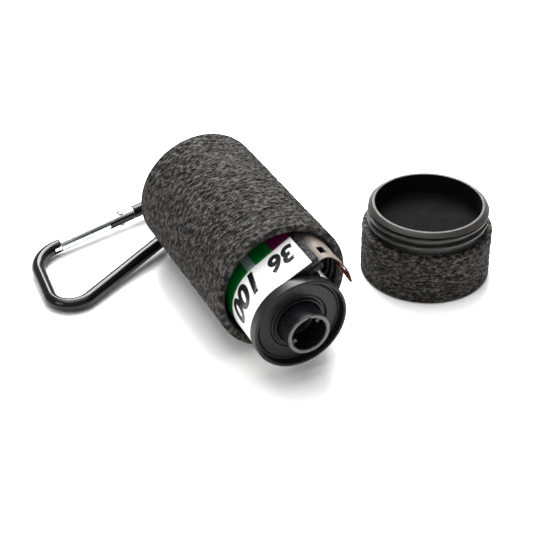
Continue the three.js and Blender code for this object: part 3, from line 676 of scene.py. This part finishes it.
def label_sheet():
    """The printed label, wrapped round the tin and along its upper lip, with its colour blocks."""
    inner = SHELL_RADIUS + GAP
    mid = inner + LABEL / 2
    stop_angle = 90 + LIP_ANGLE + 360 - math.degrees(math.acos(lower_lip / mid)) - 5
    path = sheet_path(mid, mid, LIP_REACH, stop_angle, 150)
    # the blocks begin a little behind the mouth and slope towards the lip
    verts, faces, marks = [], [], []
    outward_normals = ribbon(path, LABEL / 2)[1]

    def slant(i):
        """Where the white band ends, along the axis, at each point of the path."""
        p = path[i]
        angle = math.degrees(math.atan2(p.y, p.x)) % 360
        if angle < 118:
            return -1.3 + 1.0 * max(0, min(1, (angle - 60) / 58))
        return -0.3

    rows = 5
    for i, p in enumerate(path):
        edge = slant(i)
        heights = [rear_edge, edge - 9.0, edge - 0.01, edge, front_edge]
        for side in (1, -1):
            q = p - outward_normals[i] * side
            verts += [(q.x, q.y, z) for z in heights]
    for i in range(len(path) - 1):
        p = (path[i] + path[i + 1]) / 2
        angle = math.degrees(math.atan2(p.y, p.x)) % 360
        if angle < 93:
            ink = 2
        elif 118 <= angle <= 130:
            ink = 3
        else:
            ink = 1
        for r in range(rows - 1):
            a, b = i * 2 * rows + r, (i + 1) * 2 * rows + r
            faces.append((a, b, b + 1, a + 1))
            marks.append(0 if r == rows - 2 else ink)
            a, b = a + rows, b + rows
            faces.append((a, a + 1, b + 1, b))
            marks.append(0)
    for r in range(rows - 1):
        for i in (0, len(path) - 1):
            a = i * 2 * rows + r
            faces.append((a, a + rows, a + rows + 1, a + 1))
            marks.append(4)
    for i in range(len(path) - 1):
        for r in (0, rows - 1):
            a, b = i * 2 * rows + r, (i + 1) * 2 * rows + r
            faces.append((a, b, b + rows, a + rows))
            marks.append(0)
    inks = [label_white, label_green, label_maroon, label_grey, label_black]
    made = mesh_object("wrapped_label", (verts, faces), inks, 40)
    for face, mark in zip(made.data.polygons, marks):
        face.material_index = mark
    return settle(made, cartridge_place, "cartridge", "cartridge_label")


def wrapped_numerals(text, name, start, low, height, width, slope=0.25):
    """Generic numerals printed round the label: read round the body, tops towards the front end cap."""
    curve = bpy.data.curves.new(name, "FONT")
    curve.body = text
    curve.size = 1.0
    curve.shear = slope
    curve.offset = 0.045
    curve.resolution_u = 6
    holder = bpy.data.objects.new(name, curve)
    bpy.context.scene.collection.objects.link(holder)
    bpy.context.view_layer.update()
    flat = bpy.data.meshes.new_from_object(holder.evaluated_get(bpy.context.evaluated_depsgraph_get()))
    bpy.data.objects.remove(holder)
    low_x, high_x = (f(v.co.x for v in flat.vertices) for f in (min, max))
    low_y, high_y = (f(v.co.y for v in flat.vertices) for f in (min, max))
    shape = bmesh.new()
    shape.from_mesh(flat)
    cuts = 40
    for k in range(1, cuts):
        geometry = shape.verts[:] + shape.edges[:] + shape.faces[:]
        x = low_x + (high_x - low_x) * k / cuts
        bmesh.ops.bisect_plane(shape, geom=geometry, plane_co=(x, 0, 0), plane_no=(1, 0, 0), dist=1e-6)
    face_radius = SHELL_RADIUS + GAP + LABEL
    skin = 0.03
    raised = bmesh.ops.extrude_face_region(shape, geom=shape.faces[:])
    top = {v for v in raised["geom"] if isinstance(v, bmesh.types.BMVert)}
    for vertex in shape.verts:
        u = (vertex.co.x - low_x) / (high_x - low_x) * width
        z = low + (vertex.co.y - low_y) / (high_y - low_y) * height
        reach = face_radius + (skin if vertex in top else -skin)
        angle = math.radians(start) + u / face_radius
        if angle < math.radians(90 + LIP_ANGLE):
            back = (math.radians(90 + LIP_ANGLE) - angle) * face_radius
            p = lip_point(back, reach)
        else:
            p = Vector((math.cos(angle), math.sin(angle))) * reach
        vertex.co = (p.x, p.y, z)
    bmesh.ops.recalc_face_normals(shape, faces=shape.faces)
    mesh = bpy.data.meshes.new(name)
    shape.to_mesh(mesh)
    shape.free()
    bpy.data.meshes.remove(flat)
    mesh.materials.append(label_black)
    made = bpy.data.objects.new(name, mesh)
    bpy.context.scene.collection.objects.link(made)
    return settle(made, cartridge_place, "cartridge")


def lip_tin():
    """The rolled tin body with both lips of the light trap, bright at their sheared tips."""
    root = 90 + LIP_ANGLE

    def open_angle(radius, level):
        return 360 - math.degrees(math.acos(level / radius))

    outline = [lip_point(LIP_REACH, SHELL_RADIUS)]
    outline += arc_points((0, 0), SHELL_RADIUS, root, root + open_angle(SHELL_RADIUS, lower_lip), 96)
    outline += [lip_point(LIP_REACH, lower_lip), lip_point(LIP_REACH, lower_lip + TIN)]
    inside = SHELL_RADIUS - TIN
    outline += arc_points((0, 0), inside, root + open_angle(inside, lower_lip + TIN), root, 96)
    outline += [lip_point(LIP_REACH, SHELL_RADIUS - TIN)]
    tin = mesh_object("rolled_tin", drawn_out([tuple(p) for p in outline], rear_edge, front_edge),
                      [stoved_enamel, sheared_tin])
    paint(tin, 1, lambda c, n: Vector(c[:2]).dot(along) > LIP_REACH - 0.1
          and n.x * along.x + n.y * along.y > 0.5)
    for low, high in ((front_edge - 0.6, REACH - 2.8), (rear + 2.8, rear_edge + 0.6)):
        band = [(inside, low), (SHELL_RADIUS, low), (SHELL_RADIUS, high), (inside, high)]
        ring = mesh_object("tin_ring", turned(band, 128, wrap=True), [stoved_enamel])
        combine(tin, [ring], "UNION")
    return settle(tin, cartridge_place, "cartridge", "cartridge_shell")


def velvet_strip(bottom, name, node):
    """A velvet strip glued inside a lip: a soft block with uneven tufts on every side."""
    clear = 10.5 + 0.3
    start = math.sqrt(clear**2 - bottom**2)
    length = LIP_REACH + FELT_PROUD - start
    low, high = rear_edge + 0.9, front_edge - 0.9
    strip = mesh_object(name, block((length, FELT, high - low), (0, 0, 0), 0.25, 3), [cotton_velvet], 180)
    shape = bmesh.new()
    shape.from_mesh(strip.data)
    for axis, step in ((0, 0.25), (1, 0.25), (2, 0.3)):
        size = (length, FELT, high - low)[axis]
        for k in range(1, int(size / step)):
            geometry = shape.verts[:] + shape.edges[:] + shape.faces[:]
            spot = Vector((0, 0, 0))
            spot[axis] = -size / 2 + k * step
            normal = Vector((0, 0, 0))
            normal[axis] = 1
            bmesh.ops.bisect_plane(shape, geom=geometry, plane_co=spot, plane_no=normal, dist=1e-5)
    shape.normal_update()
    moves = [(v, v.normal.copy()) for v in shape.verts]
    for vertex, normal in moves:
        tuft = noise.noise(vertex.co / 0.45) * 0.5 + noise.noise(vertex.co / 1.3) * 0.5
        vertex.co += normal * (0.12 * tuft - 0.02)
    shape.to_mesh(strip.data)
    shape.free()
    strip.data.polygons.foreach_set("use_smooth", [True] * len(strip.data.polygons))
    centre = lip_point(start + length / 2, bottom + FELT / 2)
    turn = Matrix.Rotation(math.radians(LIP_ANGLE), 4, "Z")
    strip.data.transform(Matrix.Translation((centre.x, centre.y, (low + high) / 2)) @ turn)
    return settle(strip, cartridge_place, "cartridge", node)


FILM = 0.2
FILM_WIDTH = 35.0
LEADER_RADIUS = 15.2
LEADER_WIDTH = 22.0
PERFORATION_PITCH = 4.75


def leader():
    """The film leader: straight between the velvets, then curled against the bore, its end cut on a
    slant, with a row of square holes along its front edge."""
    level = upper_lip - FELT - 2 * GAP - FILM / 2
    centre = Vector((-(cartridge_origin.x - axis_x), CANISTER_RADIUS - cartridge_origin.z))
    meet, tip_angle, taper = 52.0, 8.0, 26.0
    start, exit_point = lip_point(0.3, level), lip_point(LIP_REACH + FELT_PROUD + 0.3, level)
    joined = arc_points(centre, LEADER_RADIUS, meet, meet, 1)[0]
    handle = lip_point(LIP_REACH + FELT_PROUD + 2.2, level)
    path = [start, exit_point]
    for k in range(1, 13):
        t = k / 12
        path.append(exit_point * (1 - t) ** 2 + handle * (2 * t * (1 - t)) + joined * t * t)
    path += arc_points(centre, LEADER_RADIUS, meet, tip_angle, 30)[1:]
    lengths, normals = ribbon(path, FILM / 2)
    total = lengths[-1]
    # up to here the columns stand square; past it they lean over to the slanted cut
    even = total * 0.9
    front = middle + FILM_WIDTH / 2 - 0.5
    back = front - LEADER_WIDTH
    cut_back = math.radians(taper - tip_angle) * LEADER_RADIUS
    met_at = total - math.radians(meet - tip_angle) * LEADER_RADIUS
    hole, width = 1.98, 2.8
    edge_low, edge_high = front - 2.0 - width, front - 2.0
    first_hole = met_at + math.radians(meet - 58.8) * LEADER_RADIUS - hole / 2
    hole_starts = [first_hole + k * PERFORATION_PITCH for k in range(3)]
    columns = sorted({round(total * k / 60, 4) for k in range(61)}
                     | {round(s, 4) for s in hole_starts} | {round(s + hole, 4) for s in hole_starts})
    rows = [back, back + 5, back + 10, back + 14, edge_low, edge_high, front - 1.2, front - 0.4, front]

    def end_at(z):
        """How far the film reaches at this row: the slanted cut, and a rounded front corner."""
        slant = cut_back * (front - 1.5 - z) / (LEADER_WIDTH - 1.5)
        corner = 0.8 * max(0, (z - (front - 1.2)) / 1.2) ** 2
        return total - max(0, slant) - corner

    def at(u, side):
        i = next(k for k in range(1, len(lengths)) if lengths[k] >= u - 1e-9)
        t = (u - lengths[i - 1]) / (lengths[i] - lengths[i - 1])
        return path[i - 1].lerp(path[i], t) + normals[i - 1].lerp(normals[i], t) * side

    shape = bmesh.new()
    grid = {}
    for i, u in enumerate(columns):
        for r, z in enumerate(rows):
            end = end_at(z)
            stretched = u if u < even else even + (u - even) * (end - even) / (total - even)
            for side in (1, -1):
                p = at(min(stretched, total), side)
                grid[i, r, side] = shape.verts.new((p.x, p.y, z))

    def solid(i, r):
        if not (0 <= i < len(columns) - 1 and 0 <= r < len(rows) - 1):
            return False
        mid_u = (columns[i] + columns[i + 1]) / 2
        in_row = edge_low < (rows[r] + rows[r + 1]) / 2 < edge_high
        return not (in_row and any(s < mid_u < s + hole for s in hole_starts) and mid_u < even)

    for i in range(len(columns) - 1):
        for r in range(len(rows) - 1):
            if not solid(i, r):
                continue
            corners = [(i, r), (i + 1, r), (i + 1, r + 1), (i, r + 1)]
            for side in (1, -1):
                face = shape.faces.new([grid[a, b, side] for a, b in corners][::side])
                face.material_index = 0 if side > 0 else 1
            for k, (di, dr) in enumerate(((0, -1), (1, 0), (0, 1), (-1, 0))):
                if not solid(i + di, r + dr):
                    a, b = corners[k], corners[(k + 1) % 4]
                    shape.faces.new([grid[(*a, 1)], grid[(*b, 1)], grid[(*b, -1)], grid[(*a, -1)]])
    loose = [v for v in shape.verts if not v.link_faces]
    bmesh.ops.delete(shape, geom=loose, context="VERTS")
    bmesh.ops.recalc_face_normals(shape, faces=shape.faces)
    mesh = bpy.data.meshes.new("film_tongue")
    shape.to_mesh(mesh)
    shape.free()
    mesh.polygons.foreach_set("use_smooth", [True] * len(mesh.polygons))
    mesh.set_sharp_from_angle(angle=math.radians(40))
    mesh.materials.append(film_emulsion_painted_shade)
    mesh.materials.append(film_acetate)
    made = bpy.data.objects.new("film_tongue", mesh)
    bpy.context.scene.collection.objects.link(made)
    return settle(made, cartridge_place, "cartridge", "film_leader")


# ---- carabiner ----
ROD = 1.9
HEEL = (-40.3, 0.0, 6.2)
SHOULDER = (-23.17, 25.87, 10.2)
NARROW = (61.4, 0.0, 6.64)
NOSE_DISTANCE = 8.4
GATE_SPAN = 21.3
GATE_END = 4.1
GATE_GAP = 0.3
TONGUE = (1.4, 3.4, 4.0)
gate_line = (Vector(NARROW[:2]) - Vector(SHOULDER[:2])).normalized()
nose = Vector(SHOULDER[:2]) + gate_line * NOSE_DISTANCE
rivet = nose + gate_line * GATE_SPAN
gate_turn = Matrix.Translation((nose.x, nose.y, 0)) @ Matrix.Rotation(
    math.atan2(gate_line.y, gate_line.x), 4, "Z"
)
tongue_start = GATE_SPAN - TONGUE[2]


def upright(radius, half, sides=64, edge=0.0):
    """A round post about local z at the rivet, in the gate line's frame."""
    outline = [(radius - edge, -half), (radius, -half + edge), (radius, half - edge), (radius - edge, half)]
    verts, faces = turned(outline, sides)
    return [v + Vector((GATE_SPAN, 0, 0)) for v in verts], faces


def straight_rod(radius, start, end, sides=48, edge=0.25):
    """A rod along the gate line with eased ends."""
    profile = eased([(0.2, start), (radius, start, edge), (radius, end, edge), (0.2, end)], edge, 4)
    verts, faces = turned([tuple(p) for p in profile], sides)
    return [Vector((v.z, v.y, -v.x)) for v in verts], faces


def carabiner_rod():
    """The bent rod: hollowed at the hinge to take the gate's round end, slotted at the nose."""
    hinge_end = rivet + gate_line * (GATE_END - 1)
    loop = eased([tuple(nose), SHOULDER, HEEL, NARROW, tuple(hinge_end)], 5, 28)
    path = []
    for a, b in zip(loop, loop[1:]):
        pieces = max(1, math.ceil((b - a).length / 3))
        path += [a.lerp(b, k / pieces) for k in range(pieces)]
    path.append(loop[-1])
    rod = mesh_object("carabiner_rod", swept(path, ROD, 40), [black_anodised])
    hollow = mesh_object("hollow", upright(GATE_END + GATE_GAP, 3, 96), [])
    slot_box = block((2 * (2.2 + GATE_GAP), 2 * ROD, 1.8), (0, -0.8, 0), 0.12)
    slot = mesh_object("slot", slot_box, [])
    shoulder_reach = GATE_SPAN + GATE_END + 1.2
    length = shoulder_reach - tongue_start
    tongue_box = block((length, TONGUE[1], TONGUE[0]), (tongue_start + length / 2, 0, 0), 0.2)
    tongue = mesh_object("tongue", tongue_box, [])
    for tool in (hollow, slot, tongue):
        tool.data.transform(gate_turn)
    combine(rod, [hollow], "DIFFERENCE")
    combine(rod, [tongue], "UNION")
    combine(rod, [slot], "DIFFERENCE")
    return settle(rod, carabiner_place, "carabiner", "carabiner_frame")


def gate():
    """The bright gate: a rod with a thin latch at the nose and a rounded fork at the hinge."""
    end = GATE_SPAN + GATE_END
    rod = mesh_object("gate_rod", straight_rod(ROD, GATE_GAP, end, edge=0.15), [tumbled_aluminium])
    stem_box = block((GATE_SPAN, 2 * ROD + 2, 2 * ROD + 2), (GATE_SPAN / 2 - 0.5, 0, 0), 0.1)
    keep = mesh_object("keep", stem_box, [])
    combine(keep, [mesh_object("round_end", upright(GATE_END, 3, 96), [])], "UNION")
    combine(rod, [keep], "INTERSECT")
    latch_box = block((3.2, 2 * ROD - 1.9, 1.2), (-0.3, -0.55, 0), 0.12)
    combine(rod, [mesh_object("latch", latch_box, [])], "UNION")
    depth = end - tongue_start + 2 * GATE_GAP
    slot_box = block((depth + 1, 2 * ROD + 1, TONGUE[0] + 0.6), (end - depth / 2 + 0.5, 0, 0), 0.12)
    combine(rod, [mesh_object("fork", slot_box, [])], "DIFFERENCE")
    rod.data.transform(gate_turn)
    return settle(rod, carabiner_place, "gate", "carabiner_gate")


def rivet_pin():
    """The rivet, with a low domed head on each side."""
    half = ROD + 0.05
    head = [(0.2, -half - 0.3), (0.7, -half - 0.27), (1.0, -half - 0.12), (1.1, -half), (0.6, -half)]
    profile = head + [(0.6, half), (1.1, half), (1.0, half + 0.12), (0.7, half + 0.27), (0.2, half + 0.3)]
    verts, faces = turned(profile, 40)
    verts = [v + Vector((GATE_SPAN, 0, 0)) for v in verts]
    pin = mesh_object("rivet_pin", (verts, faces), [plated_steel], 50)
    pin.data.transform(gate_turn)
    return settle(pin, carabiner_place, "carabiner", "gate_rivet")


canister()
base_loop()
cap()
end_cap(1, "end_cap_front", "front_end_cap")
end_cap(-1, "end_cap_rear", "rear_end_cap")
spool_hub()
lip_tin()
label_sheet()
wrapped_numerals("36", "exposure_numerals", 71, 0.5, 5.8, 8.0)
wrapped_numerals("100", "speed_numerals", 126, 0.2, 6.7, 12.5)
velvet_strip(upper_lip - GAP - FELT, "upper_velvet", "light_trap_felt_upper")
velvet_strip(lower_lip + TIN + GAP, "lower_velvet", "light_trap_felt_lower")
leader()
carabiner_rod()
gate()
rivet_pin()

# CAD pieces that stay as they are take a finish
for node, finish in (
    ("film_roll", film_acetate), ("gate_plunger", plated_steel), ("gate_spring", plated_steel),
):
    frame["nodes"][node].data.materials[0] = finish

# ---- floor, light and camera ----
floor_mesh = bpy.data.meshes.new("floor")
FLOOR_HALF = 3.0
corners = [(x * FLOOR_HALF, y * FLOOR_HALF, 0) for x, y in ((-1, -1), (1, -1), (1, 1), (-1, 1))]
floor_mesh.from_pydata(corners, [], [(0, 1, 2, 3)])
floor_mesh.materials.append(white_sweep())
floor = bpy.data.objects.new("floor", floor_mesh)
bpy.context.scene.collection.objects.link(floor)

world = bpy.data.worlds.new("studio")
world.use_nodes = True
world.node_tree.nodes["Background"].inputs["Color"].default_value = linear("#ffffff")
world.node_tree.nodes["Background"].inputs["Strength"].default_value = 0.45
bpy.context.scene.world = world


def softbox(name, spot, size, power, aim=(0, 0, 0.01)):
    """A square area light that faces a point."""
    lamp = bpy.data.lights.new(name, "AREA")
    lamp.size = size
    lamp.energy = power
    holder = bpy.data.objects.new(name, lamp)
    holder.location = spot
    holder.rotation_euler = (Vector(aim) - Vector(spot)).to_track_quat("-Z", "Y").to_euler()
    bpy.context.scene.collection.objects.link(holder)


softbox("key", (0.20, 0.44, 0.56), 0.42, 11.0)
softbox("top", (0.0, 0.12, 0.85), 0.7, 7.5)
softbox("side", (-0.6, -0.1, 0.45), 0.3, 1.2)

YAW, PITCH, ROLL = math.radians(25.65), math.radians(35.08), math.radians(-0.70)
EYE = Vector((-120.05, -240.90, 213.32))
ahead = Vector((math.sin(YAW) * math.cos(PITCH), math.cos(YAW) * math.cos(PITCH), -math.sin(PITCH)))
level_right = Vector((math.cos(YAW), -math.sin(YAW), 0))
level_up = level_right.cross(ahead)
right = level_right * math.cos(ROLL) + level_up * math.sin(ROLL)
up = level_up * math.cos(ROLL) - level_right * math.sin(ROLL)
lens = bpy.data.cameras.new("camera")
lens.sensor_width = 36.0
lens.lens = 88.6
lens.clip_start = 0.01
camera = bpy.data.objects.new("camera", lens)
eye = (EYE + Vector((axis_x, mouth_y, 0))) * MM
camera.matrix_world = Matrix.Translation(eye) @ Matrix((right, up, -ahead)).transposed().to_4x4()
bpy.context.scene.collection.objects.link(camera)
bpy.context.scene.camera = camera
bpy.context.scene.view_settings.view_transform = "Standard"
